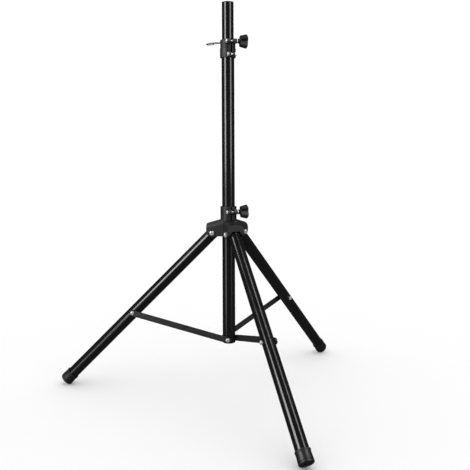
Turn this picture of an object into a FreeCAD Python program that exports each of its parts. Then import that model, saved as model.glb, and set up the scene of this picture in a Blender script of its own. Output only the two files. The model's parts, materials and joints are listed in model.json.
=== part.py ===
import FreeCAD, Part
import math
import os
import Sketcher
from FreeCAD import Placement, Rotation, Vector

# Speaker tripod stand. Millimetres, +Z up, origin on the floor under the column's axis.
# The front leg points along -Y. The column slides through the hub, which clamps it with a
# knob; three hinged legs and three flat braces open and close with that slide.
# The mast telescopes out of the column and ends in the 35 mm speaker spigot.

SIZES = {
    # tubes
    "column_od": 38.0,
    "column_wall": 1.2,
    "column_length": 877.0,
    "mast_od": 35.0,
    "mast_wall": 1.5,
    "mast_length": 897.0,
    "mast_overlap": 735.0,
    "leg_od": 35.0,
    "leg_wall": 1.2,
    "leg_above_hinge": 7.0,
    "leg_reach": 668.0,
    # leg layout
    "hinge_radius": 46.5,
    "brace_pivot": 352.0,
    "brace_pivot_height": 165.5,
    "running_fit": 0.05,
    # hub moulding, heights from the leg hinges
    "hub_bore_wall": 5.05,
    "hub_floor": 9.0,
    "hub_top": 79.0,
    "arm_start": 12.0,
    "arm_end": 64.0,
    "arm_end_height": 28.0,
    "arm_root_height": 43.0,
    "arm_width": 48.0,
    "arm_crown": 15.0,
    "arm_toe": 14.0,
    "slot_start": 20.0,
    "slot_width": 37.0,
    "slot_sweep": 20.4,
    "slot_crown": 10.0,
    "hub_clamp_height": 64.3,
    "hub_slit_depth": 41.0,
    # split clamps
    "lug_reach": 32.0,
    "lug_inner": 15.0,
    "lug_radius": 7.5,
    "lug_width": 30.0,
    "slit_width": 6.0,
    "slit_start": 14.0,
    "slit_reach": 48.0,
    # upper collar, heights from its lower rim
    "collar_low_od": 47.0,
    "collar_top_od": 45.0,
    "collar_step": 29.0,
    "collar_height": 53.4,
    "collar_clamp_height": 46.5,
    "collar_bolt_height": 8.0,
    "collar_lug_radius": 6.0,
    "collar_lug_width": 20.0,
    "flange_width": 11.0,
    "flange_reach": 31.0,
    "flange_margin": 1.5,
    "rim_chamfer": 1.2,
    # knobs
    "knob_gap": 17.1,
    "boss_small": 6.5,
    "boss_large": 9.0,
    "boss_length": 13.4,
    "wing_start": 8.9,
    "wing_end": 32.4,
    "lobe_offset": 11.5,
    "lobe_radius": 9.5,
    "lobe_waist": 6.5,
    "wing_taper": 0.8,
    "wing_round": 2.2,
    "insert_radius": 4.8,
    "insert_length": 14.0,
    "insert_depth": 7.0,
    # flat braces
    "brace_width": 18.0,
    "brace_thickness": 3.0,
    "brace_inset": 19.6,
    "washer_radius": 7.5,
    "side_gap": 0.1,
    "bolt_clearance": 0.3,
    # M8 leg hinge bolts
    "hinge_bolt_od": 8.0,
    "hinge_head_od": 14.0,
    "hinge_head_height": 4.4,
    "hinge_socket": 5.0,
    "hinge_nut": 13.0,
    "hinge_nut_height": 6.0,
    # M6 bolts
    "small_bolt_od": 6.0,
    "small_head_od": 12.0,
    "small_head_height": 3.6,
    "small_socket": 4.0,
    "small_nut": 10.0,
    "small_nut_height": 4.8,
    "washer_thickness": 1.6,
    "socket_depth": 2.2,
    "clamp_bolt_length": 52.0,
    # rubber feet
    "foot_od": 40.0,
    "foot_length": 33.0,
    "foot_sole": 4.0,
    "foot_edge": 3.0,
    "foot_waist_depth": 0.7,
    "foot_base": 12.0,
    "foot_rim": 5.0,
    # plugs and caps
    "plug_length": 28.0,
    "plug_flange": 2.5,
    "plug_bolt_height": 11.0,
    "leg_plug_length": 34.0,
    "leg_plug_flange": 2.0,
    "stud_socket": 9.0,
    "cap_flange": 3.0,
    "cap_round": 1.2,
    "cap_depth": 14.0,
    "bush_length": 22.0,
    "bush_flange": 10.0,
    "bush_wall": 3.0,
    # safety pin
    "pin_od": 6.0,
    "pin_tip": 17.9,
    "pin_shank_end": 46.0,
    "pin_point": 1.5,
    "pin_eye_radius": 11.5,
    "pin_wire": 3.2,
    "pin_hole_od": 6.6,
    "pin_hole_pitch": 90.0,
    "mark_groove_width": 2.0,
    "mark_groove_depth": 0.4,
    # how far a cut runs past the piece
    "overcut": 6.0,
}

OPEN_ANGLE = 45.0  # of each leg from vertical
LEG_AZIMUTHS = {"front": 270.0, "right": 30.0, "left": 150.0}
PIN_AZIMUTH = 135.0
PIN_EYE_DROOP = 8.0
PIN_HOLES = 8
HUB_KNOB_TURN = -8.0  # resting turn of the wing from vertical
UPPER_KNOB_TURN = 10.0
HEAD_ROUNDING = 0.7  # share of a bolt head's height that its rounded rim takes
SHANK_BEVEL = 0.08  # share of a shank's diameter that its end bevel takes
NUT_BEVEL = 0.1  # share of a nut's height that its top bevel takes
ROOT_3 = math.sqrt(3.0)
UP = Vector(0, 0, 1)


class Size:
    """A length that carries its number and the spreadsheet expression behind it."""

    def __init__(self, number, text):
        self.number = number
        self.text = text

    def _join(self, other, sign, number_of):
        other = as_size(other)
        text = f"({self.text} {sign} {other.text})"
        return Size(number_of(self.number, other.number), text)

    def __add__(self, other):
        return self._join(other, "+", lambda a, b: a + b)

    def __sub__(self, other):
        return self._join(other, "-", lambda a, b: a - b)

    def __mul__(self, other):
        return self._join(other, "*", lambda a, b: a * b)

    def __truediv__(self, other):
        return self._join(other, "/", lambda a, b: a / b)

    def __neg__(self):
        return Size(-self.number, f"(0 - {self.text})")


def as_size(value):
    return value if isinstance(value, Size) else Size(float(value), f"{float(value):.6f}")


class Sheet:
    """The driving dimensions: one spreadsheet row each, read here by name."""

    def __init__(self, document):
        self.cells = document.addObject("Spreadsheet::Sheet", "Sizes")
        for row, (alias, value) in enumerate(SIZES.items(), start=1):
            self.cells.set(f"A{row}", alias.replace("_", " "))
            self.cells.set(f"B{row}", str(value))
            self.cells.setAlias(f"B{row}", alias)

    def __getattr__(self, alias):
        return Size(SIZES[alias], f"Sizes.{alias}")


doc = FreeCAD.newDocument("SpeakerStand")
S = Sheet(doc)
doc.recompute()
nodes = []  # every sub-part that is written out, in order


# ---------------------------------------------------------------- drawing helpers


def bind(target, name, size):
    target.setExpression(name, as_size(size).text)


def new_body(label, placement=None):
    body = doc.addObject("PartDesign::Body", label)
    body.Label = label
    body.Placement = placement or Placement()
    nodes.append(body)
    return body


def origin_feature(body, role):
    return next(f for f in body.Origin.OriginFeatures if f.Role == role)


def sketch_on(body, role, offset=0.0, spin=0.0):
    """A sketch on one of the body's origin planes, moved along its normal by offset.

    spin swings the plane about the sketch's own vertical axis.
    """
    sketch = body.newObject("Sketcher::SketchObject", f"{body.Label}_sketch")
    sketch.AttachmentSupport = (origin_feature(body, role), [""])
    sketch.MapMode = "FlatFace"
    moved = Vector(0, 0, as_size(offset).number)
    sketch.AttachmentOffset = Placement(moved, Rotation(Vector(0, 1, 0), spin))
    if isinstance(offset, Size):
        bind(sketch, ".AttachmentOffset.Base.z", offset)
    return sketch


def hold(sketch, kind, size, *where):
    """Add a dimension and bind it to its expression."""
    size = as_size(size)
    index = sketch.addConstraint(Sketcher.Constraint(kind, *where, size.number))
    bind(sketch, f"Constraints[{index}]", size)


def place_point(sketch, geometry, end, across, up):
    """Fix one point of a curve at (across, up) from the sketch's origin."""
    for kind, size, axis in (("DistanceX", across, -2), ("DistanceY", up, -1)):
        if as_size(size).number == 0:
            constraint = Sketcher.Constraint("PointOnObject", geometry, end, axis)
            sketch.addConstraint(constraint)
        else:
            hold(sketch, kind, size, -1, 1, geometry, end)


def circle(sketch, radius, across=0.0, up=0.0):
    centre = Vector(as_size(across).number, as_size(up).number, 0)
    round_edge = Part.Circle(centre, UP, as_size(radius).number)
    geometry = sketch.addGeometry(round_edge, False)
    hold(sketch, "Radius", radius, geometry)
    place_point(sketch, geometry, 3, across, up)


def outline(sketch, corners):
    """A closed counter-clockwise outline of (across, up) corners.

    A corner's third value is the radius of the arc from it to the next corner:
    positive bulges outwards, negative inwards. A half circle stands on a level or
    upright chord.
    """
    spots = [Vector(as_size(c[0]).number, as_size(c[1]).number, 0) for c in corners]
    sides = []
    for index, corner in enumerate(corners):
        start, end = spots[index], spots[(index + 1) % len(spots)]
        if len(corner) == 2:
            geometry = sketch.addGeometry(Part.LineSegment(start, end), False)
            sides.append((geometry, 1, 2))
            continue
        radius = as_size(corner[2]).number
        chord = end - start
        left = UP.cross(chord).normalize()
        half = min(chord.Length / 2, abs(radius))
        depth = abs(radius) - math.sqrt(radius * radius - half * half)
        if radius > 0:
            arc = Part.Arc(start, (start + end) / 2 - left * depth, end)
            ends = (1, 2)
        else:
            arc = Part.Arc(end, (start + end) / 2 + left * depth, start)
            ends = (2, 1)
        geometry = sketch.addGeometry(arc, False)
        sides.append((geometry, *ends))
    for index, (geometry, _, end) in enumerate(sides):
        following, start, _ = sides[(index + 1) % len(sides)]
        sketch.addConstraint(Sketcher.Constraint("Coincident", geometry, end, following, start))
    for index, (geometry, start, _) in enumerate(sides):
        corner = corners[index]
        place_point(sketch, geometry, start, corner[0], corner[1])
        if len(corner) == 2:
            continue
        size = as_size(corner[2])
        chord = spots[(index + 1) % len(spots)] - spots[index]
        if abs(chord.Length - 2 * abs(size.number)) < 1e-6:
            lie = "Vertical" if abs(chord.x) < abs(chord.y) else "Horizontal"
            sketch.addConstraint(Sketcher.Constraint(lie, geometry, 1, geometry, 3))
        else:
            hold(sketch, "Radius", size if size.number > 0 else -size, geometry)


def rectangle(sketch, left, right, low, high):
    outline(sketch, [(left, low), (right, low), (right, high), (left, high)])


def hexagon(sketch, across_flats):
    """A regular hexagon about the origin, on a construction circle."""
    radius = as_size(across_flats) / ROOT_3
    rim = sketch.addGeometry(Part.Circle(Vector(), UP, radius.number), True)
    sketch.addConstraint(Sketcher.Constraint("Coincident", rim, 3, -1, 1))
    hold(sketch, "Radius", radius, rim)
    angles = [math.radians(60 * k) for k in range(6)]
    spots = [Vector(math.cos(a), math.sin(a), 0) * radius.number for a in angles]
    sides = [
        sketch.addGeometry(Part.LineSegment(spots[k], spots[(k + 1) % 6]), False)
        for k in range(6)
    ]
    for k in range(6):
        join = Sketcher.Constraint("Coincident", sides[k], 2, sides[(k + 1) % 6], 1)
        sketch.addConstraint(join)
        sketch.addConstraint(Sketcher.Constraint("PointOnObject", sides[k], 1, rim))
    for k in range(5):
        sketch.addConstraint(Sketcher.Constraint("Equal", sides[k], sides[k + 1]))
    sketch.addConstraint(Sketcher.Constraint("PointOnObject", sides[0], 1, -1))


# ---------------------------------------------------------------- feature helpers


def add_feature(body, kind, sketch):
    feature = body.newObject(f"PartDesign::{kind}", f"{body.Label}_{kind.lower()}")
    feature.Profile = sketch
    sketch.Visibility = False
    body.Tip = feature
    return feature


def pad(body, sketch, length, symmetric=False):
    feature = add_feature(body, "Pad", sketch)
    bind(feature, "Length", length)
    feature.SideType = "Symmetric" if symmetric else "One side"


def cut(body, sketch, length=None, symmetric=False):
    """Pocket against the sketch's normal, by a length or right through, or both ways."""
    feature = add_feature(body, "Pocket", sketch)
    if length is None:
        feature.Type = "ThroughAll"
    else:
        bind(feature, "Length", length)
    feature.SideType = "Symmetric" if symmetric else "One side"
    return feature


def turn(body, sketch, kind="Revolution", axis="V_Axis"):
    feature = add_feature(body, kind, sketch)
    feature.ReferenceAxis = (sketch, [axis])
    feature.Angle = 360


def dress(body, kind, size, wanted):
    """Fillet or Chamfer the edges of the body's last feature that a test picks."""
    doc.recompute()
    base = body.Tip
    edges = [f"Edge{k}" for k, e in enumerate(base.Shape.Edges, start=1) if wanted(e)]
    if not edges:
        raise RuntimeError(f"{body.Label}: no edge for {kind}")
    feature = body.newObject(f"PartDesign::{kind}", f"{body.Label}_{kind.lower()}")
    feature.Base = (base, edges)
    bind(feature, "Radius" if kind == "Fillet" else "Size", size)
    body.Tip = feature


def at_height(height, radius=None):
    """Test for round edges about the body's Z axis at one height, and radius if given."""
    height = as_size(height).number

    def test(edge):
        if not isinstance(edge.Curve, Part.Circle):
            return False
        centre = edge.Curve.Center
        on_axis = math.hypot(centre.x, centre.y) < 0.01 and abs(centre.z - height) < 0.01
        right_size = radius is None or abs(edge.Curve.Radius - as_size(radius).number) < 0.01
        return on_axis and right_size

    return test


def turned(label, corners, placement=None):
    """A body of revolution about its own Z axis from (radius, height) corners."""
    body = new_body(label, placement)
    sketch = sketch_on(body, "XZ_Plane")
    outline(sketch, corners)
    turn(body, sketch)
    return body


def tube(label, outside, wall, length, placement=None):
    body = new_body(label, placement)
    sketch = sketch_on(body, "XY_Plane")
    circle(sketch, outside / 2)
    circle(sketch, outside / 2 - wall)
    pad(body, sketch, length)
    return body


# ---------------------------------------------------------------- the stand's frame


def hinge_height():
    """Height of the leg hinges, from a leg whose rounded foot edge rests on the floor."""
    lean = math.radians(OPEN_ANGLE)
    along = SIZES["leg_reach"] - SIZES["foot_edge"]
    across = SIZES["foot_od"] / 2 - SIZES["foot_edge"]
    return along * math.cos(lean) + across * math.sin(lean) + SIZES["foot_edge"]


def brace_run():
    """How far a brace runs outwards and upwards, from the column's axis to its leg bolt."""
    lean = math.radians(OPEN_ANGLE)
    out = SIZES["hinge_radius"] + SIZES["brace_pivot"] * math.sin(lean)
    leg_bolt_height = hinge_height() - SIZES["brace_pivot"] * math.cos(lean)
    return out, leg_bolt_height - SIZES["brace_pivot_height"]


HINGE_HEIGHT = hinge_height()
COLUMN_FLOOR = SIZES["brace_pivot_height"] - SIZES["plug_bolt_height"]
COLUMN_TUBE_FLOOR = COLUMN_FLOOR + SIZES["plug_flange"]
COLLAR_FLOOR = COLUMN_TUBE_FLOOR + SIZES["column_length"] - SIZES["collar_step"]
MAST_FLOOR = COLLAR_FLOOR - SIZES["mast_overlap"]
HUB_CLAMP_LEVEL = HINGE_HEIGHT + SIZES["hub_clamp_height"]
UPPER_CLAMP_LEVEL = COLLAR_FLOOR + SIZES["collar_clamp_height"]


def on_axis(height):
    return Placement(Vector(0, 0, height), Rotation())


def leg_frame(azimuth, along=0.0):
    """Frame of one leg: Z up along its axis, Y tangential, origin along below the hinge."""
    radius = SIZES["hinge_radius"]
    spin = Rotation(UP, azimuth)
    turned_leg = spin.multiply(Rotation(Vector(0, 1, 0), -OPEN_ANGLE))
    hinge = spin.multVec(Vector(radius, 0, 0)) + Vector(0, 0, HINGE_HEIGHT)
    moved = turned_leg.multVec(Vector(0, 0, -along))
    return Placement(hinge + moved, turned_leg)


def across_leg(azimuth, radius, height, out):
    """Frame for a fastener across a leg, out beside its middle and facing away from it."""
    spin = Rotation(UP, azimuth)
    spot = spin.multVec(Vector(radius, out, 0)) + Vector(0, 0, height)
    facing = spin.multVec(Vector(0, math.copysign(1, out), 0))
    return Placement(spot, Rotation(UP, facing))


def along_x(start, across, height, spin=0.0):
    """Frame whose Z axis points along +X, turned about that axis by spin."""
    facing = Rotation(Vector(0, 1, 0), 90).multiply(Rotation(UP, spin))
    return Placement(Vector(start, across, height), facing)


# ---------------------------------------------------------------- fasteners


def bolt(label, placement, length, size="small"):
    """Button-head bolt: underside of the head at z = 0, shank down, hexagon socket on top."""
    shank_od, head_od, head_height, socket = (
        getattr(S, f"{size}_{name}") for name in ("bolt_od", "head_od", "head_height", "socket")
    )
    body = turned(
        label,
        [
            (0, -length),
            (shank_od / 2, -length),
            (shank_od / 2, 0),
            (head_od / 2, 0),
            (head_od / 2, head_height),
            (0, head_height),
        ],
        placement,
    )
    dress(body, "Fillet", head_height * HEAD_ROUNDING, at_height(head_height, head_od / 2))
    dress(body, "Chamfer", shank_od * SHANK_BEVEL, at_height(-length, shank_od / 2))
    sketch = sketch_on(body, "XY_Plane", offset=head_height)
    hexagon(sketch, socket)
    cut(body, sketch, S.socket_depth)
    return body


def nut(label, placement, size="small"):
    """Hexagon nut standing on z = 0."""
    height = getattr(S, f"{size}_nut_height")
    body = new_body(label, placement)
    sketch = sketch_on(body, "XY_Plane")
    hexagon(sketch, getattr(S, f"{size}_nut"))
    circle(sketch, getattr(S, f"{size}_bolt_od") / 2 + S.running_fit)
    pad(body, sketch, height)
    top = height.number
    dress(
        body,
        "Chamfer",
        height * NUT_BEVEL,
        lambda e: isinstance(e.Curve, Part.Line) and abs(e.CenterOfMass.z - top) < 0.01,
    )
    return body


def washer(label, placement, thickness):
    """Washer for an M6 bolt, standing on z = 0."""
    bore = S.small_bolt_od / 2 + S.running_fit
    corners = [
        (bore, 0),
        (S.washer_radius, 0),
        (S.washer_radius, thickness),
        (bore, thickness),
    ]
    return turned(label, corners, placement)


def ring_of_three(label, body):
    """Repeat a finished fastener at the three legs, as one group of separate solids."""
    doc.recompute()
    nodes.remove(body)
    links = []
    for azimuth in (0.0, 120.0, 240.0):
        link = doc.addObject("App::Link", f"{label}_{int(azimuth)}")
        link.LinkedObject = body
        link.Placement = Placement(Vector(), Rotation(UP, azimuth)).multiply(body.Placement)
        links.append(link)
    group = doc.addObject("Part::Compound", label)
    group.Label = label
    group.Links = links
    nodes.append(group)
    return group


# ---------------------------------------------------------------- hub


def draw_arm(body):
    """The right arm's side view, with the hinge bolt's hole."""
    sketch = sketch_on(body, "XZ_Plane", spin=LEG_AZIMUTHS["right"])
    outline(
        sketch,
        [
            (S.arm_start, -S.hub_floor),
            (S.arm_end - S.arm_toe, -S.hub_floor, S.arm_toe),
            (S.arm_end, S.arm_toe - S.hub_floor),
            (S.arm_end, S.arm_end_height),
            (S.arm_start, S.arm_root_height),
        ],
    )
    circle(sketch, S.hinge_bolt_od / 2 + S.running_fit, S.hinge_radius, 0)
    return sketch


def is_slope(edge):
    """Test for the straight edges along an arm's sloping top."""
    return isinstance(edge.Curve, Part.Line) and 0.1 < abs(edge.Curve.Direction.z) < 0.9


def arm_slot(body):
    """Room for the leg's end: a round-shouldered sweep about the hinge, open below."""
    azimuth = LEG_AZIMUTHS["right"]
    sweep = sketch_on(body, "YZ_Plane", spin=azimuth)
    lean = math.radians(azimuth)
    bind(sweep, ".AttachmentOffset.Base.x", S.hinge_radius * math.sin(lean))
    bind(sweep, ".AttachmentOffset.Base.z", S.hinge_radius * math.cos(lean))
    half, shoulder = S.slot_width / 2, S.slot_width / 2 - S.slot_crown
    outline(
        sweep,
        [
            (-half, 0),
            (half, 0),
            (half, S.slot_sweep - S.slot_crown, S.slot_crown),
            (shoulder, S.slot_sweep),
            (-shoulder, S.slot_sweep, S.slot_crown),
            (-half, S.slot_sweep - S.slot_crown),
        ],
    )
    turn(body, sweep, "Groove", axis="H_Axis")
    slot = sketch_on(body, "XZ_Plane", spin=azimuth)
    rectangle(slot, S.slot_start, S.arm_end + S.overcut, -S.hub_floor - S.overcut, 0)
    cut(body, slot, S.slot_width, symmetric=True)


def clamp_lug(body, height, radius, width):
    """Boss for a clamp bolt along X, in front of the tube at one height."""
    sketch = sketch_on(body, "YZ_Plane")
    outline(
        sketch,
        [
            (-S.lug_inner, height + radius),
            (-S.lug_reach, height + radius, radius),
            (-S.lug_reach, height - radius),
            (-S.lug_inner, height - radius),
        ],
    )
    pad(body, sketch, width, symmetric=True)
    sketch = sketch_on(body, "YZ_Plane")
    circle(sketch, S.small_bolt_od / 2 + S.running_fit, -S.lug_reach, height)
    cut(body, sketch, width, symmetric=True)


def clamp_slit(body, top, depth):
    sketch = sketch_on(body, "XY_Plane", offset=top)
    half = S.slit_width / 2
    rectangle(sketch, -half, half, -S.slit_reach, -S.slit_start)
    cut(body, sketch, depth)


def hub_bracket():
    """Moulded hub: three hooded clevis arms round a split clamp collar."""
    body = new_body("hub_bracket", on_axis(HINGE_HEIGHT))
    pad(body, draw_arm(body), S.arm_width, symmetric=True)
    dress(body, "Fillet", S.arm_crown, is_slope)
    arm_slot(body)
    doc.recompute()
    arms = body.newObject("PartDesign::PolarPattern", "hub_arms")
    arms.TransformMode = "Whole shape"
    arms.Axis = (origin_feature(body, "Z_Axis"), [""])
    arms.Angle = 360
    arms.Occurrences = 3
    body.Tip = arms
    outside = S.column_od / 2 + S.hub_bore_wall + S.running_fit
    sketch = sketch_on(body, "XY_Plane", offset=-S.hub_floor)
    circle(sketch, outside)
    pad(body, sketch, S.hub_floor + S.hub_top)
    clamp_lug(body, S.hub_clamp_height, S.lug_radius, S.lug_width)
    dress(body, "Chamfer", S.rim_chamfer, at_height(S.hub_top, outside))
    sketch = sketch_on(body, "XY_Plane", offset=S.hub_top)
    circle(sketch, S.column_od / 2 + S.running_fit)
    cut(body, sketch)
    clamp_slit(body, S.hub_top, S.hub_slit_depth)
    return body


def hub_fasteners():
    azimuth = LEG_AZIMUTHS["right"]
    half = SIZES["arm_width"] / 2
    radius = SIZES["hinge_radius"]
    length = S.arm_width + S.hinge_nut_height + S.washer_thickness
    bolt_place = across_leg(azimuth, radius, HINGE_HEIGHT, half)
    ring_of_three("leg_hinge_bolts", bolt("hinge_bolt", bolt_place, length, "hinge"))
    nut_place = across_leg(azimuth, radius, HINGE_HEIGHT, -half)
    ring_of_three("leg_hinge_nuts", nut("hinge_nut", nut_place, "hinge"))


# ---------------------------------------------------------------- clamps and knobs


def clamp_hardware(name, level):
    """Clamp bolt with its head on the -X lug, and the washer under the knob."""
    half = SIZES["lug_width"] / 2
    front = -SIZES["lug_reach"]
    head = Placement(Vector(-half, front, level), Rotation(UP, Vector(-1, 0, 0)))
    bolt(f"{name}_clamp_bolt", head, S.clamp_bolt_length)
    washer(f"{name}_clamp_washer", along_x(half, front, level), S.washer_thickness)


def draw_wing(body, offset, scale):
    """Bow-tie outline of the knob's wing: two round lobes joined by hollow flanks."""
    sketch = sketch_on(body, "XY_Plane", offset=offset)
    reach = S.lobe_offset * scale
    lobe = S.lobe_radius * scale
    waist = S.lobe_waist * scale
    flank = (reach * reach + waist * waist - lobe * lobe) / ((lobe - waist) * 2)
    joint = reach * flank / (lobe + flank)
    rise = lobe * (waist + flank) / (lobe + flank)
    outline(
        sketch,
        [
            (joint, -rise, lobe),
            (reach + lobe, 0, lobe),
            (joint, rise, -flank),
            (-joint, rise, lobe),
            (-(reach + lobe), 0, lobe),
            (-joint, -rise, -flank),
        ],
    )
    return sketch


def knob(name, level, spin):
    """Winged clamp knob on the bolt's free end, turning about X, and its threaded insert."""
    start = SIZES["knob_gap"]
    front = -SIZES["lug_reach"]
    body = turned(
        f"{name}_knob",
        [(0, 0), (S.boss_small, 0), (S.boss_large, S.boss_length), (0, S.boss_length)],
        along_x(start, front, level, spin),
    )
    inner = draw_wing(body, S.wing_start, S.wing_taper)
    outer = draw_wing(body, S.wing_end, as_size(1.0))
    loft = add_feature(body, "AdditiveLoft", inner)
    loft.Sections = [outer]
    loft.Ruled = True
    end = SIZES["wing_end"]
    dress(body, "Fillet", S.wing_round, lambda e: abs(e.CenterOfMass.z - end) < 0.01)
    bore = S.small_bolt_od / 2 + S.bolt_clearance
    seat_end = S.insert_depth + S.insert_length
    sketch = sketch_on(body, "XZ_Plane")
    outline(
        sketch,
        [
            (0, 0),
            (bore, 0),
            (bore, S.insert_depth),
            (S.insert_radius, S.insert_depth),
            (S.insert_radius, seat_end),
            (bore, seat_end),
            (bore, seat_end + S.washer_thickness),
            (0, seat_end + S.washer_thickness),
        ],
    )
    turn(body, sketch, "Groove")
    thread = S.small_bolt_od / 2 + S.running_fit
    turned(
        f"{name}_knob_insert",
        [
            (thread, 0),
            (S.insert_radius, 0),
            (S.insert_radius, S.insert_length),
            (thread, S.insert_length),
        ],
        along_x(start + SIZES["insert_depth"], front, level),
    )


def upper_collar():
    """Split collar fixed on the column's top; its upper half clamps the mast."""
    low, top = S.collar_low_od / 2, S.collar_top_od / 2
    body = turned(
        "upper_collar",
        [
            (0, 0),
            (low, 0),
            (low, S.collar_step),
            (top, S.collar_step),
            (top, S.collar_height),
            (0, S.collar_height),
        ],
        on_axis(COLLAR_FLOOR),
    )
    dress(body, "Chamfer", S.rim_chamfer / 2, at_height(S.collar_step, low))
    dress(body, "Chamfer", S.rim_chamfer, at_height(S.collar_height, top))
    flange = sketch_on(body, "YZ_Plane")
    low_edge, high_edge = S.flange_margin, S.collar_height - S.flange_margin
    rectangle(flange, -S.flange_reach, -S.lug_inner, low_edge, high_edge)
    pad(body, flange, S.flange_width, symmetric=True)
    clamp_lug(body, S.collar_clamp_height, S.lug_radius, S.lug_width)
    clamp_lug(body, S.collar_bolt_height, S.collar_lug_radius, S.collar_lug_width)
    sketch = sketch_on(body, "XY_Plane", offset=S.collar_step)
    circle(sketch, S.column_od / 2)
    cut(body, sketch, S.collar_step)
    above_lug = S.collar_clamp_height + S.lug_radius
    sketch = sketch_on(body, "XY_Plane", offset=above_lug)
    circle(sketch, S.mast_od / 2 + S.running_fit)
    cut(body, sketch)
    clamp_slit(body, above_lug, above_lug)
    sketch = sketch_on(body, "XZ_Plane", spin=PIN_AZIMUTH - 90)
    circle(sketch, S.pin_od / 2 + S.running_fit, 0, S.collar_clamp_height)
    cut(body, sketch, S.collar_low_od + S.overcut, symmetric=True)


def collar_fasteners():
    """Hexagon-nutted bolt that closes the collar on the column."""
    half = SIZES["collar_lug_width"] / 2
    front = -SIZES["lug_reach"]
    level = COLLAR_FLOOR + SIZES["collar_bolt_height"]
    head = Placement(Vector(-half, front, level), Rotation(UP, Vector(-1, 0, 0)))
    length = S.collar_lug_width + S.small_nut_height + S.washer_thickness
    bolt("collar_bolt", head, length)
    nut("collar_nut", along_x(half, front, level))


# ---------------------------------------------------------------- column and mast


def column_tube():
    body = tube("column_tube", S.column_od, S.column_wall, S.column_length,
                on_axis(COLUMN_TUBE_FLOOR))
    height = S.plug_bolt_height - S.plug_flange
    stud_holes(body, height, S.small_bolt_od / 2 + S.bolt_clearance)


def stud_holes(body, height, radius):
    """Three blind holes towards the axis, where the braces' lower bolts screw in."""
    sketch = sketch_on(body, "YZ_Plane", offset=S.column_od / 2)
    circle(sketch, radius, 0, height)
    hole = cut(body, sketch, S.stud_socket)
    doc.recompute()
    holes = body.newObject("PartDesign::PolarPattern", f"{body.Label}_holes")
    holes.Originals = [hole]
    holes.Axis = (origin_feature(body, "Z_Axis"), [""])
    holes.Angle = 360
    holes.Occurrences = 3
    body.Tip = holes


def column_plug():
    inside = S.column_od / 2 - S.column_wall
    body = turned(
        "column_plug",
        [
            (0, 0),
            (S.column_od / 2, 0),
            (S.column_od / 2, S.plug_flange),
            (inside, S.plug_flange),
            (inside, S.plug_flange + S.plug_length),
            (0, S.plug_flange + S.plug_length),
        ],
        on_axis(COLUMN_FLOOR),
    )
    dress(body, "Fillet", S.cap_round, at_height(0))
    stud_holes(body, S.plug_bolt_height, S.small_bolt_od / 2)


def mast_tube():
    """Inner tube with its row of safety-pin holes and a groove that marks full lowering."""
    body = tube("mast_tube", S.mast_od, S.mast_wall, S.mast_length, on_axis(MAST_FLOOR))
    sketch = sketch_on(body, "XZ_Plane", spin=PIN_AZIMUTH - 90)
    circle(sketch, S.pin_hole_od / 2, 0, S.mast_overlap + S.collar_clamp_height)
    hole = cut(body, sketch, S.mast_od + S.overcut, symmetric=True)
    doc.recompute()
    holes = body.newObject("PartDesign::LinearPattern", "mast_pin_holes")
    holes.Originals = [hole]
    holes.Direction = (origin_feature(body, "Z_Axis"), [""])
    holes.Reversed = True
    holes.Occurrences = PIN_HOLES
    bind(holes, "Length", S.pin_hole_pitch * (PIN_HOLES - 1))
    body.Tip = holes
    rim = S.mast_overlap + S.collar_height
    outside = S.mast_od / 2
    sketch = sketch_on(body, "XZ_Plane")
    rectangle(
        sketch,
        outside - S.mark_groove_depth,
        outside + S.mark_groove_width,
        rim - S.mark_groove_width / 2,
        rim + S.mark_groove_width / 2,
    )
    turn(body, sketch, "Groove")


def mast_ends():
    outside = S.mast_od / 2
    inside = outside - S.mast_wall
    top = MAST_FLOOR + SIZES["mast_length"]
    cap = turned(
        "mast_cap",
        [
            (0, -S.cap_depth),
            (inside, -S.cap_depth),
            (inside, 0),
            (outside, 0),
            (outside, S.cap_flange),
            (0, S.cap_flange),
        ],
        on_axis(top),
    )
    dress(cap, "Fillet", S.cap_round, at_height(S.cap_flange))
    guide = S.column_od / 2 - S.column_wall - S.running_fit
    turned(
        "mast_guide_bush",
        [
            (inside - S.bush_wall, -S.bush_flange),
            (guide, -S.bush_flange),
            (guide, 0),
            (inside, 0),
            (inside, S.bush_length),
            (inside - S.bush_wall, S.bush_length),
        ],
        on_axis(MAST_FLOOR),
    )


def locking_pin():
    """Safety pin with a wire eye, its tip drawn back just clear of the mast."""
    shank = doc.addObject("Part::Cylinder", "pin_shank")
    bind(shank, "Radius", S.pin_od / 2)
    bind(shank, "Height", S.pin_shank_end - S.pin_tip - S.pin_point)
    shank.Placement = on_axis(SIZES["pin_tip"] + SIZES["pin_point"])
    point = doc.addObject("Part::Cone", "pin_point")
    bind(point, "Radius1", S.pin_od / 3)
    bind(point, "Radius2", S.pin_od / 2)
    bind(point, "Height", S.pin_point)
    point.Placement = on_axis(SIZES["pin_tip"])
    eye = doc.addObject("Part::Torus", "pin_eye")
    bind(eye, "Radius1", S.pin_eye_radius)
    bind(eye, "Radius2", S.pin_wire / 2)
    droop = math.radians(PIN_EYE_DROOP)
    lean = Vector(math.sin(droop), 0, math.cos(droop)) * SIZES["pin_eye_radius"]
    tilt = Rotation(Vector(0, 1, 0), 90 + PIN_EYE_DROOP)
    eye.Placement = Placement(Vector(0, 0, SIZES["pin_shank_end"]) + lean, tilt)
    pin = doc.addObject("Part::MultiFuse", "locking_pin")
    pin.Label = "locking_pin"
    pin.Shapes = [shank, point, eye]
    facing = Rotation(UP, PIN_AZIMUTH).multiply(Rotation(Vector(0, 1, 0), 90))
    pin.Placement = Placement(Vector(0, 0, UPPER_CLAMP_LEVEL), facing)
    nodes.append(pin)


# ---------------------------------------------------------------- legs and braces


def cross_hole(body, height, radius):
    """Hole across a leg piece along its own Y axis."""
    sketch = sketch_on(body, "XZ_Plane")
    circle(sketch, radius, 0, height)
    cut(body, sketch, S.leg_od + S.overcut, symmetric=True)


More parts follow.
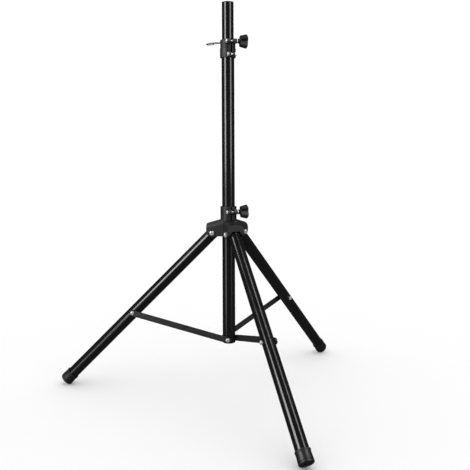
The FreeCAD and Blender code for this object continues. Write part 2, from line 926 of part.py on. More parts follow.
def leg_tube(name, azimuth):
    reach = S.leg_reach - S.foot_sole
    body = tube(f"{name}_leg_tube", S.leg_od, S.leg_wall, reach + S.leg_above_hinge,
                leg_frame(azimuth, along=reach.number))
    cross_hole(body, reach, S.hinge_bolt_od / 2 + S.running_fit)
    cross_hole(body, reach - S.brace_pivot, S.small_bolt_od / 2 + S.running_fit)


def leg_plug(name, azimuth):
    """Plug in the top of a leg tube, bored for the hinge bolt."""
    inside = S.leg_od / 2 - S.leg_wall
    top = S.leg_above_hinge + S.leg_plug_flange
    body = turned(
        f"{name}_leg_plug",
        [
            (0, S.leg_above_hinge - S.leg_plug_length),
            (inside, S.leg_above_hinge - S.leg_plug_length),
            (inside, S.leg_above_hinge),
            (S.leg_od / 2, S.leg_above_hinge),
            (S.leg_od / 2, top),
            (0, top),
        ],
        leg_frame(azimuth),
    )
    dress(body, "Fillet", S.cap_round, at_height(top))
    cross_hole(body, 0, S.hinge_bolt_od / 2 + S.running_fit)


def foot(name, azimuth):
    """Rubber sleeve with a closed sole, a shallow waist and a rounded lower edge."""
    outside, bore = S.foot_od / 2, S.leg_od / 2
    waist = outside - S.foot_waist_depth
    rim = S.foot_length - S.foot_rim
    body = turned(
        f"{name}_foot",
        [
            (0, 0),
            (outside, 0),
            (outside, S.foot_base),
            (waist, S.foot_base + S.foot_waist_depth),
            (waist, rim - S.foot_waist_depth),
            (outside, rim),
            (outside, S.foot_length),
            (bore, S.foot_length),
            (bore, S.foot_sole),
            (0, S.foot_sole),
        ],
        leg_frame(azimuth, along=SIZES["leg_reach"]),
    )
    dress(body, "Fillet", S.foot_edge, at_height(0))
    dress(body, "Fillet", S.cap_round, at_height(S.foot_length, outside))


def leg_fasteners(name, azimuth):
    """The brace's upper bolt through the leg, the spacer under the brace, and the nut."""
    lean = math.radians(OPEN_ANGLE)
    out = SIZES["hinge_radius"] + SIZES["brace_pivot"] * math.sin(lean)
    height = HINGE_HEIGHT - SIZES["brace_pivot"] * math.cos(lean)
    side = SIZES["leg_od"] / 2
    spacer = S.brace_inset - S.leg_od / 2 - S.side_gap
    washer(f"{name}_brace_spacer", across_leg(azimuth, out, height, side), spacer)
    head = S.brace_inset + S.brace_thickness + S.side_gap
    length = head + side + S.small_nut_height + S.washer_thickness
    bolt(f"{name}_brace_bolt", across_leg(azimuth, out, height, head.number), length)
    nut(f"{name}_brace_nut", across_leg(azimuth, out, height, -side))


def brace(name, azimuth):
    """Flat bar beside its leg and the column, with the lower bolt's stub fixed in it."""
    out, rise = brace_run()
    length = math.hypot(out, rise)
    half = S.brace_width / 2
    middle = SIZES["brace_inset"] + SIZES["brace_thickness"] / 2
    spin = Rotation(UP, azimuth)
    slope = Rotation(Vector(0, 1, 0), -math.degrees(math.atan2(rise, out)))
    foot_spot = spin.multVec(Vector(0, middle, 0)) + Vector(0, 0, SIZES["brace_pivot_height"])
    body = new_body(f"{name}_brace", Placement(foot_spot, spin.multiply(slope)))
    sketch = sketch_on(body, "XZ_Plane")
    outline(sketch, [(0, -half), (length, -half, half), (length, half), (0, half, half)])
    for along in (0, length):
        circle(sketch, S.small_bolt_od / 2 + S.running_fit, along, 0)
    pad(body, sketch, S.brace_thickness, symmetric=True)
    face = SIZES["brace_inset"] + SIZES["brace_thickness"]
    stud_place = across_leg(azimuth, 0, SIZES["brace_pivot_height"], face)
    bolt(f"{name}_brace_stud", stud_place, S.brace_thickness)


# ---------------------------------------------------------------- build


def build():
    hub_bracket()
    hub_fasteners()
    clamp_hardware("hub", HUB_CLAMP_LEVEL)
    knob("hub", HUB_CLAMP_LEVEL, HUB_KNOB_TURN)
    column_tube()
    column_plug()
    upper_collar()
    collar_fasteners()
    clamp_hardware("upper", UPPER_CLAMP_LEVEL)
    knob("upper", UPPER_CLAMP_LEVEL, UPPER_KNOB_TURN)
    locking_pin()
    mast_tube()
    mast_ends()
    for name, azimuth in LEG_AZIMUTHS.items():
        leg_tube(name, azimuth)
        leg_plug(name, azimuth)
        foot(name, azimuth)
        leg_fasteners(name, azimuth)
        brace(name, azimuth)
    doc.recompute()


def check_and_export():
    """Stop on any failed object or bad shape, then write one STEP file for each node."""
    for thing in doc.Objects:
        if "Invalid" in thing.State or "Error" in thing.State:
            raise RuntimeError(f"{thing.Label} failed: {thing.State}")
    os.makedirs("parts", exist_ok=True)
    for node in nodes:
        shape = node.Shape
        if shape.isNull() or not shape.isValid():
            raise RuntimeError(f"{node.Label} has a bad shape")
        shape.exportStep(f"parts/{node.Label}.step")
        low, high = shape.BoundBox.ZMin, shape.BoundBox.ZMax
        print(f"{node.Label:22s} {len(shape.Solids)} solid(s) {shape.Volume:9.0f} mm3", end=" ")
        print(f"z {low:7.1f} to {high:7.1f}")


build()
check_and_export()
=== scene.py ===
import json
import math

import bmesh
import bpy
from mathutils import Matrix, Vector


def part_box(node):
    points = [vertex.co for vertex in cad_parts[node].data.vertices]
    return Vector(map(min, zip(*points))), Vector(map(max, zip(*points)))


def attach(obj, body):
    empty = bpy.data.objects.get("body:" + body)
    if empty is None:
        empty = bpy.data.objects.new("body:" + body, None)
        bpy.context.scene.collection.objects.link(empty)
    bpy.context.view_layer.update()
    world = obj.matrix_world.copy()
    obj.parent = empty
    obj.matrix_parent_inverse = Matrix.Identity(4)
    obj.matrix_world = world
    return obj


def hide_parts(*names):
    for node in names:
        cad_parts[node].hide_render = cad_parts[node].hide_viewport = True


# Looks of the speaker tripod stand, in metres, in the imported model's own frame.

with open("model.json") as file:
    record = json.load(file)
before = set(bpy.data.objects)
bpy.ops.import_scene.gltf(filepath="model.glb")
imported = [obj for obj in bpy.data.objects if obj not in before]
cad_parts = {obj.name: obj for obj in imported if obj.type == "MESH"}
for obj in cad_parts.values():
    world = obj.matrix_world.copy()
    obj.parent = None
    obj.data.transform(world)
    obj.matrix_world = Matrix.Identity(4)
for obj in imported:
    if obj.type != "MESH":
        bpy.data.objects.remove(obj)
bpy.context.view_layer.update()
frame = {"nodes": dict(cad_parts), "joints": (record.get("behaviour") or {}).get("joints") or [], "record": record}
JOINTS = {joint["name"]: joint for joint in frame["joints"]}
LEGS = ("front", "right", "left")
MM = 0.001
OPEN_ANGLE = math.radians(45)  # of each leg from vertical

# ---------------------------------------------------------------- camera, floor and light

# Lengths in metres and angles in radians, but for the lens and film width in mm and the shift
# as a share of the film.
CAMERA_AZIMUTH = math.radians(-20.66)  # 0 looks along +Y
CAMERA_DISTANCE = 2.025
CAMERA_SIDE = 0.0199
CAMERA_HEIGHT = 0.757
CAMERA_PITCH = 0.0350
CAMERA_ROLL = 0.0038
CAMERA_LENS = 52.02
CAMERA_FILM = 36
CAMERA_SHIFT = -0.148
CAMERA_REACH = 60  # how far it sees
FLOOR_RADIUS = 14.0
FLOOR_GAP = 0.05  # mm below the feet
FLOOR_WHITE = 0.965
WORLD_STRENGTH = 1.04
REFLECTED_STRENGTH = 0.045  # of the world in reflections, so that gloss black stays black

# Each softbox: azimuth in degrees; distance, height, width and tallness in metres; watts;
# and the height that it aims at, on the stand's axis.
SOFTBOXES = {
    "left_softbox": (-52, 2.3, 1.32, 0.95, 1.5, 46, 1.0),
    "left_low_softbox": (-52, 2.3, 0.1, 0.95, 0.95, 6.5, 0.3),
    "right_softbox": (52, 2.3, 1.32, 0.8, 1.5, 25, 1.0),
    "right_low_softbox": (52, 2.3, 0.1, 0.8, 0.95, 1.3, 0.3),
    "left_high_softbox": (-88, 2.1, 2.3, 0.8, 0.9, 18, 0.3),
    "right_high_softbox": (66, 1.84, 3.0, 0.8, 1.9, 38, 0.3),
    "back_softbox": (180, 2.0, 3.0, 2.2, 1.0, 20, 0.5),
}


def add_camera():
    """Camera in front of the stand and to its left, with the view shifted down."""
    turn = Matrix.Rotation(CAMERA_AZIMUTH, 3, "Z")
    place = turn @ Vector((CAMERA_SIDE, -CAMERA_DISTANCE, CAMERA_HEIGHT))
    right = turn @ Vector((1, 0, 0))
    ahead = turn @ Vector((0, math.cos(CAMERA_PITCH), -math.sin(CAMERA_PITCH)))
    up = right.cross(ahead)
    rolled = Matrix.Rotation(CAMERA_ROLL, 3, ahead)
    right, up = rolled @ right, rolled @ up
    data = bpy.data.cameras.new("camera")
    data.sensor_width = CAMERA_FILM
    data.lens = CAMERA_LENS
    data.shift_y = CAMERA_SHIFT
    data.clip_end = CAMERA_REACH
    camera = bpy.data.objects.new("camera", data)
    camera.matrix_world = Matrix((right, up, -ahead)).transposed().to_4x4()
    camera.location = place
    bpy.context.scene.collection.objects.link(camera)
    bpy.context.scene.camera = camera


def add_softbox(name, azimuth, distance, height, width, tall, power, aim):
    """Area light that shows in reflections alone; azimuth 0 is the camera's side."""
    angle = CAMERA_AZIMUTH - math.pi / 2 + math.radians(azimuth)
    place = Vector((distance * math.cos(angle), distance * math.sin(angle), height))
    data = bpy.data.lights.new(name, "AREA")
    data.shape = "RECTANGLE"
    data.size = width
    data.size_y = tall
    data.energy = power
    light = bpy.data.objects.new(name, data)
    light.location = place
    light.rotation_mode = "QUATERNION"
    light.rotation_quaternion = (Vector((0, 0, aim)) - place).to_track_quat("-Z", "Y")
    light.visible_camera = False
    light.visible_diffuse = False
    bpy.context.scene.collection.objects.link(light)


def add_lights():
    """Two tall softboxes with dim lower ends stripe the tubes; high ones light what slopes."""
    for name, settings in SOFTBOXES.items():
        add_softbox(name, *settings)


def add_world():
    """Even white seen directly and as soft light all round, but dark in reflections."""
    world = bpy.data.worlds.new("studio")
    world.use_nodes = True
    bpy.context.scene.world = world
    nodes, links = world.node_tree.nodes, world.node_tree.links
    background = nodes["Background"]
    background.inputs["Color"].default_value = (1, 1, 1, 1)
    ray = nodes.new("ShaderNodeLightPath")
    strength = nodes.new("ShaderNodeMapRange")
    strength.inputs["To Min"].default_value = WORLD_STRENGTH
    strength.inputs["To Max"].default_value = REFLECTED_STRENGTH
    links.new(ray.outputs["Is Glossy Ray"], strength.inputs["Value"])
    links.new(strength.outputs["Result"], background.inputs["Strength"])


def add_floor():
    """Matt white floor, which doesn't show in the stand's reflections."""
    mesh = bpy.data.meshes.new("studio_floor")
    grid = bmesh.new()
    bmesh.ops.create_circle(grid, cap_ends=True, radius=FLOOR_RADIUS, segments=96)
    grid.to_mesh(mesh)
    grid.free()
    floor = bpy.data.objects.new("studio_floor", mesh)
    floor.location.z = -FLOOR_GAP * MM
    bpy.context.scene.collection.objects.link(floor)
    material, tree, surface = new_material("studio_floor")
    surface.inputs["Base Color"].default_value = (FLOOR_WHITE, FLOOR_WHITE, FLOOR_WHITE, 1)
    surface.inputs["Specular IOR Level"].default_value = 0.0
    link_range(tree, noise(tree, 3.0, 2), surface.inputs["Roughness"], 0.9, 1.0)
    mesh.materials.append(material)
    floor.visible_glossy = False


# ---------------------------------------------------------------- material helpers


def new_material(name):
    material = bpy.data.materials.new(name)
    material.use_nodes = True
    tree = material.node_tree
    return material, tree, tree.nodes["Principled BSDF"]


def object_coordinates(tree, stretch=(1, 1, 1)):
    """Coordinates that stay with the piece, in metres, stretched along its own axes."""
    place = tree.nodes.new("ShaderNodeTexCoord").outputs["Object"]
    if stretch == (1, 1, 1):
        return place
    mapping = tree.nodes.new("ShaderNodeMapping")
    mapping.inputs["Scale"].default_value = stretch
    tree.links.new(place, mapping.inputs["Vector"])
    return mapping.outputs["Vector"]


def noise(tree, scale, detail, stretch=(1, 1, 1), distortion=0.0):
    node = tree.nodes.new("ShaderNodeTexNoise")
    node.inputs["Scale"].default_value = scale
    node.inputs["Detail"].default_value = detail
    node.inputs["Distortion"].default_value = distortion
    tree.links.new(object_coordinates(tree, stretch), node.inputs["Vector"])
    return node.outputs["Fac"]


def cells(tree, scale):
    """Distance to the nearest of many scattered points: a pebbled grain."""
    node = tree.nodes.new("ShaderNodeTexVoronoi")
    node.inputs["Scale"].default_value = scale
    tree.links.new(object_coordinates(tree), node.inputs["Vector"])
    return node.outputs["Distance"]


def ranged(tree, value, low, high, start=0.35, end=0.65):
    """Map start..end of a texture to low..high."""
    node = tree.nodes.new("ShaderNodeMapRange")
    for name, number in (("From Min", start), ("From Max", end), ("To Min", low), ("To Max", high)):
        node.inputs[name].default_value = number
    tree.links.new(value, node.inputs["Value"])
    return node.outputs["Result"]


def link_range(tree, value, socket, low, high, start=0.35, end=0.65):
    tree.links.new(ranged(tree, value, low, high, start, end), socket)


def blend_colours(tree, factor, first, second):
    """Mix two colours, each a plain colour or another node's output."""
    node = tree.nodes.new("ShaderNodeMix")
    node.data_type = "RGBA"
    tree.links.new(factor, node.inputs["Factor"])
    for name, colour in (("A", first), ("B", second)):
        socket = next(s for s in node.inputs if s.name == name and s.type == "RGBA")
        if isinstance(colour, tuple):
            socket.default_value = (*colour, 1)
        else:
            tree.links.new(colour, socket)
    return next(s for s in node.outputs if s.type == "RGBA")


def combine(tree, first, second, operation="ADD"):
    node = tree.nodes.new("ShaderNodeMath")
    node.operation = operation
    for socket, value in zip(node.inputs, (first, second)):
        if isinstance(value, (int, float)):
            socket.default_value = value
        else:
            tree.links.new(value, socket)
    return node.outputs["Value"]


def bump(tree, surface, height, distance, strength=1.0):
    node = tree.nodes.new("ShaderNodeBump")
    node.inputs["Distance"].default_value = distance
    node.inputs["Strength"].default_value = strength
    tree.links.new(height, node.inputs["Height"])
    tree.links.new(node.outputs["Normal"], surface.inputs["Normal"])


def worn_edges(tree):
    """1 on a piece's sharp outer edges, 0 elsewhere, broken up by noise."""
    geometry = tree.nodes.new("ShaderNodeNewGeometry")
    edge = ranged(tree, geometry.outputs["Pointiness"], 0, 1, 0.515, 0.56)
    return combine(tree, edge, ranged(tree, noise(tree, 160, 4), 0, 1, 0.4, 0.7), "MULTIPLY")


# ---------------------------------------------------------------- materials


def gloss_enamel():
    """Gloss black enamel on steel tube: faint haze, orange peel and fine lengthwise scuffs."""
    material, tree, surface = new_material("gloss_black_enamel")
    haze = noise(tree, 28, 4)
    scuffs = ranged(tree, noise(tree, 420, 3, (1, 1, 0.06)), 0, 1, 0.68, 0.76)
    colour = blend_colours(tree, haze, (0.0045, 0.0045, 0.005), (0.0075, 0.0075, 0.008))
    colour = blend_colours(tree, scuffs, colour, (0.016, 0.016, 0.017))
    tree.links.new(colour, surface.inputs["Base Color"])
    rough = combine(tree, ranged(tree, haze, 0.15, 0.2), combine(tree, scuffs, 0.06, "MULTIPLY"))
    tree.links.new(rough, surface.inputs["Roughness"])
    bump(tree, surface, noise(tree, 300, 1), 0.006 * MM, 0.6)
    return material


def satin_enamel():
    """Satin black enamel on flat bar, thinner and lighter along the sheared edges."""
    material, tree, surface = new_material("satin_black_enamel")
    patches = noise(tree, 45, 5)
    colour = blend_colours(tree, patches, (0.010, 0.010, 0.0105), (0.0185, 0.0185, 0.0195))
    colour = blend_colours(tree, worn_edges(tree), colour, (0.07, 0.07, 0.072))
    tree.links.new(colour, surface.inputs["Base Color"])
    link_range(tree, patches, surface.inputs["Roughness"], 0.36, 0.48)
    bump(tree, surface, noise(tree, 900, 3), 0.05 * MM, 0.6)
    return material


def moulded_plastic(name, dark, light, rough, grain, depth):
    """Moulded black plastic with a spark-eroded grain and slightly polished edges."""
    material, tree, surface = new_material(name)
    flow = noise(tree, 22, 5, distortion=0.6)
    colour = blend_colours(tree, flow, (dark,) * 3, (light,) * 3)
    colour = blend_colours(tree, worn_edges(tree), colour, (light * 2.4,) * 3)
    tree.links.new(colour, surface.inputs["Base Color"])
    link_range(tree, noise(tree, 60, 4), surface.inputs["Roughness"], rough, rough + 0.12)
    surface.inputs["Specular IOR Level"].default_value = 0.38
    grains = combine(tree, cells(tree, grain), noise(tree, grain * 0.6, 3))
    bump(tree, surface, grains, depth, 0.7)
    return material


def foot_rubber():
    """Black rubber, dusty where it stands on the floor, with a fine matt grain."""
    material, tree, surface = new_material("foot_rubber")
    height = tree.nodes.new("ShaderNodeSeparateXYZ")
    tree.links.new(object_coordinates(tree), height.inputs["Vector"])
    low = ranged(tree, height.outputs["Z"], 1, 0, 0.0, 6 * MM)
    dust = combine(tree, low, ranged(tree, noise(tree, 180, 5), 0, 0.8), "MULTIPLY")
    base = blend_colours(tree, noise(tree, 70, 4), (0.006, 0.006, 0.006), (0.011, 0.011, 0.0105))
    colour = blend_colours(tree, dust, base, (0.035, 0.034, 0.029))
    tree.links.new(colour, surface.inputs["Base Color"])
    link_range(tree, noise(tree, 90, 3), surface.inputs["Roughness"], 0.38, 0.5)
    bump(tree, surface, noise(tree, 1500, 3), 0.05 * MM, 0.8)
    return material


def bright_metal(name, pale, deep, rough, marks, metallic=1.0):
    """Plated or plain metal: uneven tint, turning marks and small dents."""
    material, tree, surface = new_material(name)
    clouds = noise(tree, 110, 4)
    tree.links.new(blend_colours(tree, clouds, pale, deep), surface.inputs["Base Color"])
    surface.inputs["Metallic"].default_value = metallic
    link_range(tree, noise(tree, 260, 4), surface.inputs["Roughness"], rough, rough + 0.14)
    lines = noise(tree, 700, 3, (1, 1, 0.15))
    bump(tree, surface, lines, marks, 0.6)
    return material


MATERIALS = {
    "black_enamel": gloss_enamel(),
    "brace_enamel": satin_enamel(),
    "moulded_hub": moulded_plastic("moulded_hub", 0.013, 0.020, 0.42, 2200, 0.03 * MM),
    "knob_plastic": moulded_plastic("knob_plastic", 0.0035, 0.0065, 0.34, 2600, 0.02 * MM),
    "black_plug": moulded_plastic("plug_plastic", 0.005, 0.009, 0.4, 2600, 0.02 * MM),
    "foot_rubber": foot_rubber(),
    "zinc_steel": bright_metal(
        "zinc_plate", (0.8, 0.8, 0.79), (0.62, 0.64, 0.67), 0.3, 0.008 * MM, metallic=0.7
    ),
    "brass_insert": bright_metal("brass", (0.78, 0.58, 0.27), (0.6, 0.42, 0.18), 0.26, 0.01 * MM),
    "chrome_pin": bright_metal("chrome", (0.17, 0.17, 0.175), (0.11, 0.11, 0.12), 0.24, 0.003 * MM),
}


def paint_nodes():
    """Give each CAD node the material of its slot in the record."""
    slots = {part["node"]: part["material_slot"] for part in frame["record"]["subparts"]}
    for name, node in frame["nodes"].items():
        node.data.materials.clear()
        node.data.materials.append(MATERIALS[slots[name]])


# ---------------------------------------------------------------- pieces, with sizes in mm


def new_piece(name, mesh, place, body, slot, *nodes):
    """Show a mesh in place of CAD nodes, moving with their body."""
    mesh.materials.clear()
    mesh.materials.append(MATERIALS[slot])
    piece = bpy.data.objects.new(name, mesh)
    piece.matrix_world = place
    bpy.context.scene.collection.objects.link(piece)
    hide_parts(*nodes)
    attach(piece, body)


CRISP_ANGLE = math.radians(38)  # edges that turn more than this stay sharp


def loft(name, rings, start, end):
    """Closed mesh through equal rings of points in mm, with a fan to one point at each end."""
    shape = bmesh.new()
    rows = [[shape.verts.new(point) for point in ring] for ring in rings]
    count = len(rows[0])
    for low, high in zip(rows, rows[1:]):
        for k in range(count):
            shape.faces.new((low[k], low[(k + 1) % count], high[(k + 1) % count], high[k]))
    for row, tip, turned in ((rows[0], start, True), (rows[-1], end, False)):
        tip = shape.verts.new(tip)
        for k in range(count):
            side = (row[k], row[(k + 1) % count])
            shape.faces.new((*(reversed(side) if turned else side), tip))
    bmesh.ops.recalc_face_normals(shape, faces=shape.faces)
    mesh = bpy.data.meshes.new(name)
    shape.to_mesh(mesh)
    shape.free()
    mesh.transform(Matrix.Scale(MM, 4))
    mesh.shade_smooth()
    mesh.set_sharp_from_angle(angle=CRISP_ANGLE)
    return mesh


def arc(centre, radius, start, end, steps):
    """(radius, height) points along an arc, with angles in degrees."""
    angles = [math.radians(start + (end - start) * k / steps) for k in range(steps + 1)]
    return [(centre[0] + radius * math.cos(a), centre[1] + radius * math.sin(a)) for a in angles]


FOOT_SEGMENTS = 128
FOOT_BORE_RADIUS = 17.5
FOOT_FLOOR = 4.0  # rubber under the tube's end
TREAD_DEPTH = 0.9
SOLE_ROUND = 3.2
LIP_ROUND = 1.2


def foot_profile(outside, length):
    """The sleeve's outline: treaded sole, rounded lower edge, ring groove, flare and lip."""
    tread = [(3.2, TREAD_DEPTH), (3.9, 0.0), (7.0, 0.0), (7.7, TREAD_DEPTH)]
    tread += [(9.3, TREAD_DEPTH), (10.0, 0.0), (13.0, 0.0), (13.7, TREAD_DEPTH)]
    tread += [(15.0, TREAD_DEPTH), (15.6, 0.1)]
    edge = arc((outside - SOLE_ROUND, SOLE_ROUND), SOLE_ROUND, -85, 0, 8)
    groove = [(outside, 5.6), (outside - 0.2, 5.9), (outside - 0.75, 6.3), (outside - 0.85, 7.0)]
    groove += [(outside - 0.75, 7.7), (outside - 0.3, 8.1), (outside - 0.15, 8.6)]
    sleeve = [(outside - 0.25, 12.0), (outside - 0.6, 18.0), (outside - 0.75, 24.0)]
    sleeve += [(outside - 0.7, length - 5.2), (outside - 0.55, length - 4.6)]
    lip = [(outside - 0.1, length - 4.2), (outside, length - 3.8)]
    lip += [(outside, length - LIP_ROUND)]
    lip += arc((outside - LIP_ROUND, length - LIP_ROUND), LIP_ROUND, 15, 90, 5)
    bore = [(FOOT_BORE_RADIUS + 0.5, length), (FOOT_BORE_RADIUS, length - 0.5)]
    bore += [(FOOT_BORE_RADIUS, FOOT_FLOOR)]
    return tread + edge + groove + sleeve + lip + bore


def add_foot(leg):
    """Rubber foot, turned about the leg's axis, from its sole up."""
    hinge = Vector(JOINTS[f"{leg}_leg_hinge"]["pos_m"])
    outwards = Vector((hinge.x, hinge.y, 0)).normalized()
    down = outwards * math.sin(OPEN_ANGLE) - Vector((0, 0, math.cos(OPEN_ANGLE)))
    spots = [vertex.co for vertex in frame["nodes"][f"{leg}_foot"].data.vertices]
    along = [(spot - hinge).dot(down) for spot in spots]
    outside = max((spot - hinge - down * reach).length for spot, reach in zip(spots, along))
    profile = foot_profile(outside / MM, (max(along) - min(along)) / MM)
    turns = [math.tau * k / FOOT_SEGMENTS for k in range(FOOT_SEGMENTS)]
    rings = [[(r * math.cos(t), r * math.sin(t), z) for t in turns] for r, z in profile]
    mesh = loft(f"{leg}_rubber_foot", rings, (0, 0, TREAD_DEPTH), (0, 0, FOOT_FLOOR))
    across = outwards.cross(down).normalized()
    place = Matrix((across, across.cross(down), -down)).transposed().to_4x4()
    place.translation = hinge + down * max(along)
    mesh.transform(place)
    new_piece(
        f"{leg}_rubber_foot", mesh, Matrix.Identity(4), f"{leg}_leg", "foot_rubber", f"{leg}_foot"
    )


KNOB_POINTS = 420  # round each ring
KNOB_TURNS = {"hub_knob": -8, "upper_knob": 10}  # degrees of the wing from upright
LOBE_OFFSET, LOBE_RADIUS, WAIST = 11.5, 9.5, 6.5
WING_LENGTH = 23.5  # along the bolt
WING_REACH = LOBE_OFFSET + LOBE_RADIUS
DOME = 3.2  # how far the face falls away towards the wing's tips
RIM_ROUND = 2.2
DISH = 1.1
CAP_RECESS = 0.3  # of the middle of the face below its rim
GRIP_RIBS = 9  # across each lobe's end
GRIP_ANGLE = math.radians(34)  # from the wing's long axis
RIB_DEPTH = 0.55
# (height, radius) along the hole from its blind end out, and then along the boss.
INSERT_POCKET = [(22.6, 3.3), (21, 3.3), (21, 4.8), (7, 4.8), (7, 3.3), (0, 3.3)]
BOSS_STEPS = [(0, 5.9), (0.2, 6.3), (0.8, 6.55), (4.6, 7.1), (4.7, 6.7), (5.5, 6.8), (5.6, 7.3)]
BOSS_STEPS += [(8.0, 7.7)]


def wing_radius(angle):
    """Distance from the knob's axis to its bow-tie outline: two round lobes, hollow flanks."""
    flank = (LOBE_OFFSET**2 + WAIST**2 - LOBE_RADIUS**2) / (2 * (LOBE_RADIUS - WAIST))
    joint = LOBE_OFFSET * flank / (LOBE_RADIUS + flank)
    rise = LOBE_RADIUS * (WAIST + flank) / (LOBE_RADIUS + flank)
    across, up = abs(math.cos(angle)), abs(math.sin(angle))
    if up * joint <= across * rise:
        return LOBE_OFFSET * across + math.sqrt(LOBE_RADIUS**2 - (LOBE_OFFSET * up) ** 2)
    centre = WAIST + flank
    return centre * up - math.sqrt(flank**2 - (centre * across) ** 2)


def rib(angle):
    """0 on a grip rib's crest and 1 in the hollow beside it, over the lobes' ends only."""
    off = min(abs(angle), abs(abs(angle) - math.pi))
    if off > GRIP_ANGLE:
        return 0.0
    return 0.5 - 0.5 * math.cos(math.tau * GRIP_RIBS * (off / GRIP_ANGLE + 1) / 2)


def knob_rings(length):
    """Rings of points from the bolt's hole, out along the boss and wing, to the dished face."""
    start = length - WING_LENGTH
    angles = [math.tau * k / KNOB_POINTS - math.pi for k in range(KNOB_POINTS)]
    wing = [wing_radius(a) for a in angles]
    hollows = [rib(a) for a in angles]

    def ring(height, radius, share=0.0, scale=1.0, ribbed=0.0):
        """One ring: share of the wing's outline, the rest a circle of that radius."""
        reach = [
            share * (far * scale - RIB_DEPTH * ribbed * hollow) + (1 - share) * radius
            for far, hollow in zip(wing, hollows)
        ]
        bow = DOME * share * max(0, (height - start) / WING_LENGTH)
        spots = [(r * math.cos(a), r * math.sin(a)) for r, a in zip(reach, angles)]
        return [(x, y, height - bow * (x / WING_REACH) ** 2) for x, y in spots]

    rings = [ring(z, r) for z, r in INSERT_POCKET + BOSS_STEPS]
    # The shoulder, where the round boss grows into the wing.
    rings += [ring(start - 0.3, 7.9, 0.06), ring(start, 8.1, 0.35, 0.76)]
    rings += [ring(start + 0.15, 8.4, 0.8, 0.77), ring(start + 0.6, 0, 1, 0.795)]
    # The ribbed wing, flaring to its full outline.
    for k in range(1, 9):
        share = k / 9
        ribbed = min(1.0, 5 * share, 5 * (1 - share))
        rings.append(ring(start + 0.6 + (WING_LENGTH - 3) * share, 0, 1, 0.8 + 0.2 * share, ribbed))
    # The rounded rim, then the dished face with a low round cap in its middle.
    for k in range(7):
        turn = math.radians(15 * k)
        height = length - RIM_ROUND * (1 - math.sin(turn))
        rings.append(ring(height, 0, 1, 1 - 0.13 * (1 - math.cos(turn))))
    rings += [ring(length, 0, 1, 0.83), ring(length - 0.15, 0, 1, 0.81)]
    rings += [ring(length - 0.9, 0, 1, 0.785), ring(length - DISH, 0, 1, 0.75)]
    rings += [ring(length - DISH, 5.4, 0.5, 0.72), ring(length - DISH, 5.0)]
    rings += [ring(length - 0.45, 4.6), ring(length - CAP_RECESS, 4.3)]
    rings += [ring(length - CAP_RECESS, 1.0)]
    return rings


def add_knob(body, turn):
    """Wing knob: stepped boss, ribbed bow-tie wing, rounded rim and a dished outer face."""
    low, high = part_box(body)
    length = (high.x - low.x) / MM
    hole_end = (0, 0, INSERT_POCKET[0][0])
    mesh = loft(f"{body}_wing", knob_rings(length), hole_end, (0, 0, length - CAP_RECESS))
    lean = math.radians(turn)
    along = Vector((0, math.sin(lean), -math.cos(lean)))
    out = Vector(JOINTS[f"{body}_turn"]["axis"])
    place = Matrix((along, out.cross(along), out)).transposed().to_4x4()
    place.translation = Vector((low.x, *JOINTS[f"{body}_turn"]["pos_m"][1:]))
    new_piece(f"{body}_wing", mesh, place, body, "knob_plastic", body)


RING_SEGMENTS = 64
# (radius, height) round the ring at a hinge bolt's end; the height is from the arm's side.
RING_PROFILE = [(10.8, -0.8), (10.8, 0.7), (10.4, 1.1), (9.0, 1.1), (8.6, 0.7), (8.6, -0.8)]
HUB_VOXEL = 0.5
COLLAR_VOXEL = 0.4
SOFTEN_STEPS = 6
ARM_WIDTH = 48.0
COLUMN_BORE_RADIUS = 19.12
COLLAR_STEP = 29.0  # height in the collar where its bore narrows to the mast
MAST_BORE_RADIUS = 17.6
PIN_HOLE_RADIUS = 3.2
PIN_HOLE_START = 15.0  # distance from the stand's axis


def add_ring(shape, centre, axis, profile):
    """Add a closed ring about an axis, through (radius, height) points in mm."""
    facing = axis.to_track_quat("Z", "Y").to_matrix()
    turns = [math.tau * k / RING_SEGMENTS for k in range(RING_SEGMENTS)]
    rows = []
    for radius, height in profile:
        spots = [Vector((radius * math.cos(t), radius * math.sin(t), height)) * MM for t in turns]
        rows.append([shape.verts.new(centre + facing @ spot) for spot in spots])
    for low, high in zip(rows, rows[1:] + rows[:1]):
        for k in range(RING_SEGMENTS):
            shape.faces.new((low[k], low[k - 1], high[k - 1], high[k]))


def add_moulding(name, node, body, voxel, reams, rings=()):
    """A moulded part: the CAD shape and its raised rings, remeshed and softened at every edge.

    Each ream is (point, axis, radius, start): past the start along the axis, the hole about
    it is opened to that radius in mm, so that it stays clear of what runs in it.
    """
    shape = bmesh.new()
    shape.from_mesh(frame["nodes"][node].data)
    for ring in rings:
        add_ring(shape, *ring)
    rough = bpy.data.meshes.new(f"{name}_rough")
    shape.to_mesh(rough)
    shape.free()
    draft = bpy.data.objects.new(f"{name}_draft", rough)
    bpy.context.scene.collection.objects.link(draft)
    remesh = draft.modifiers.new("remesh", "REMESH")
    remesh.mode = "VOXEL"
    remesh.voxel_size = voxel * MM
    remesh.use_smooth_shade = True
    soften = draft.modifiers.new("soften", "SMOOTH")
    soften.factor = 0.5
    soften.iterations = SOFTEN_STEPS
    drawn = draft.evaluated_get(bpy.context.evaluated_depsgraph_get())
    mesh = bpy.data.meshes.new_from_object(drawn)
    mesh.name = name
    bpy.data.objects.remove(draft)
    for vertex in mesh.vertices:
        for point, axis, radius, start in reams:
            along = (vertex.co - point).dot(axis)
            foot = point + axis * along
            away = vertex.co - foot
            if along > start * MM and away.length < radius * MM:
                vertex.co = foot + away * (radius * MM / away.length)
    new_piece(name, mesh, Matrix.Identity(4), body, "moulded_hub", node)


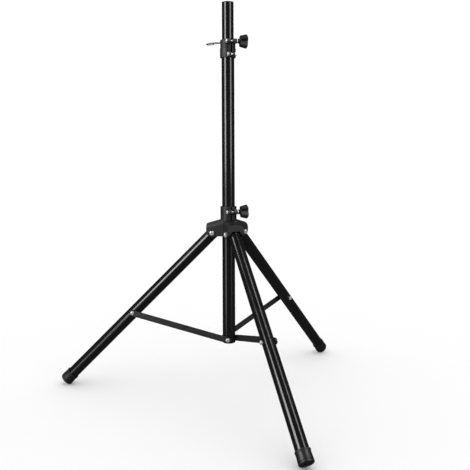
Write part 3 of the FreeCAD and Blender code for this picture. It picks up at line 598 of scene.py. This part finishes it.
def add_mouldings():
    """The hub, with a raised ring round each hinge bolt's ends, and the upper collar."""
    rings = []
    for leg in LEGS:
        hinge = Vector(JOINTS[f"{leg}_leg_hinge"]["pos_m"])
        axis = Vector(JOINTS[f"{leg}_leg_hinge"]["axis"])
        half = ARM_WIDTH / 2 * MM
        rings += [(hinge + side * half, side, RING_PROFILE) for side in (axis, -axis)]
    origin, up = Vector(), Vector((0, 0, 1))
    column_bore = (origin, up, COLUMN_BORE_RADIUS, 0)
    add_moulding("hub_moulding", "hub_bracket", "hub", HUB_VOXEL, [column_bore], rings)
    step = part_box("upper_collar")[0].z / MM + COLLAR_STEP
    mast_bore = (origin, up, MAST_BORE_RADIUS, step)
    level = Vector((0, 0, JOINTS["upper_knob_turn"]["pos_m"][2]))
    pin_axis = Vector(JOINTS["locking_pin_slide"]["axis"])
    reams = [mast_bore, (level, pin_axis, PIN_HOLE_RADIUS, PIN_HOLE_START)]
    add_moulding("collar_moulding", "upper_collar", "column", COLLAR_VOXEL, reams)


# Widths of the rounded edges on each leg's pieces, and on the other nuts.
LEG_EDGES = {"brace": 0.4, "leg_plug": 0.5, "brace_nut": 0.25}
NUT_EDGES = {"collar_nut": 0.25, "leg_hinge_nuts": 0.3}
WELD_DISTANCE = 0.002


def round_edges(node, width):
    """Small rounded edges on a CAD node, by modifiers alone."""
    thing = frame["nodes"][node]
    weld = thing.modifiers.new("weld", "WELD")
    weld.merge_threshold = WELD_DISTANCE * MM
    bevel = thing.modifiers.new("edges", "BEVEL")
    bevel.width = width * MM
    bevel.segments = 3
    bevel.limit_method = "ANGLE"
    bevel.angle_limit = CRISP_ANGLE
    thing.modifiers.new("normals", "WEIGHTED_NORMAL").keep_sharp = True


# ---------------------------------------------------------------- run

add_camera()
add_lights()
add_world()
add_floor()
paint_nodes()
for leg in LEGS:
    add_foot(leg)
for body, turn in KNOB_TURNS.items():
    add_knob(body, turn)
add_mouldings()
for leg in LEGS:
    for part, width in LEG_EDGES.items():
        round_edges(f"{leg}_{part}", width)
for node, width in NUT_EDGES.items():
    round_edges(node, width)

bpy.context.scene.view_settings.view_transform = "Standard"
